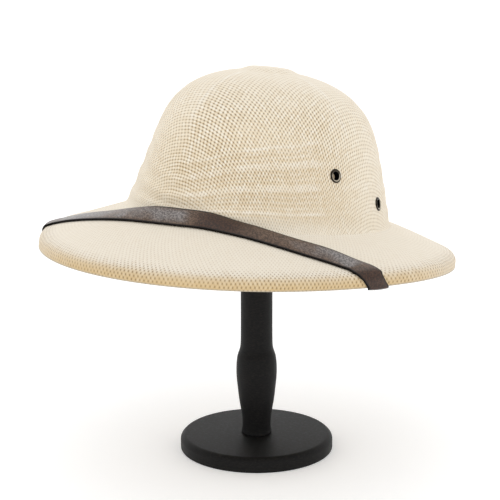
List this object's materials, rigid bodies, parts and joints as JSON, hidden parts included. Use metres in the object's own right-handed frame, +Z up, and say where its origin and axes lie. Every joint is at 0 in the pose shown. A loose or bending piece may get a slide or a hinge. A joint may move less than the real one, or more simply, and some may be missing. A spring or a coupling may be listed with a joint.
{
  "type": "pith helmet on display stand",
  "caption": "Woven straw sun helmet with folded crown, drooping brim, leather chin strap and vent eyelets, resting on a plain black turned stand.",
  "frame": {"origin": "centre of the stand foot's underside, on the surface that it stands on", "axes": "+Z up; -Y to the front of the helmet, so the long way of the brim lies along Y; +X to the wearer's left; the helmet is pitched back 8.6 degrees about X"},
  "size_m": [0.3025, 0.3376, 0.3037],
  "materials": {
    "straw": "open diagonal weave of natural cream straw, matt",
    "leather": "dark brown smooth leather with a soft sheen and black cut edges",
    "bronze": "antique dark bronze, worn on the rolled lip",
    "black_wood": "matt black painted turned wood"
  },
  "bodies": {
    "root": {"shell": "straw", "chin_strap": "leather", "eyelet_left_front": "bronze", "eyelet_left_rear": "bronze", "eyelet_right_front": "bronze", "eyelet_right_rear": "bronze", "stand_base": "black_wood", "stand_post": "black_wood", "stand_cap": "black_wood"}
  },
  "joints": []
}
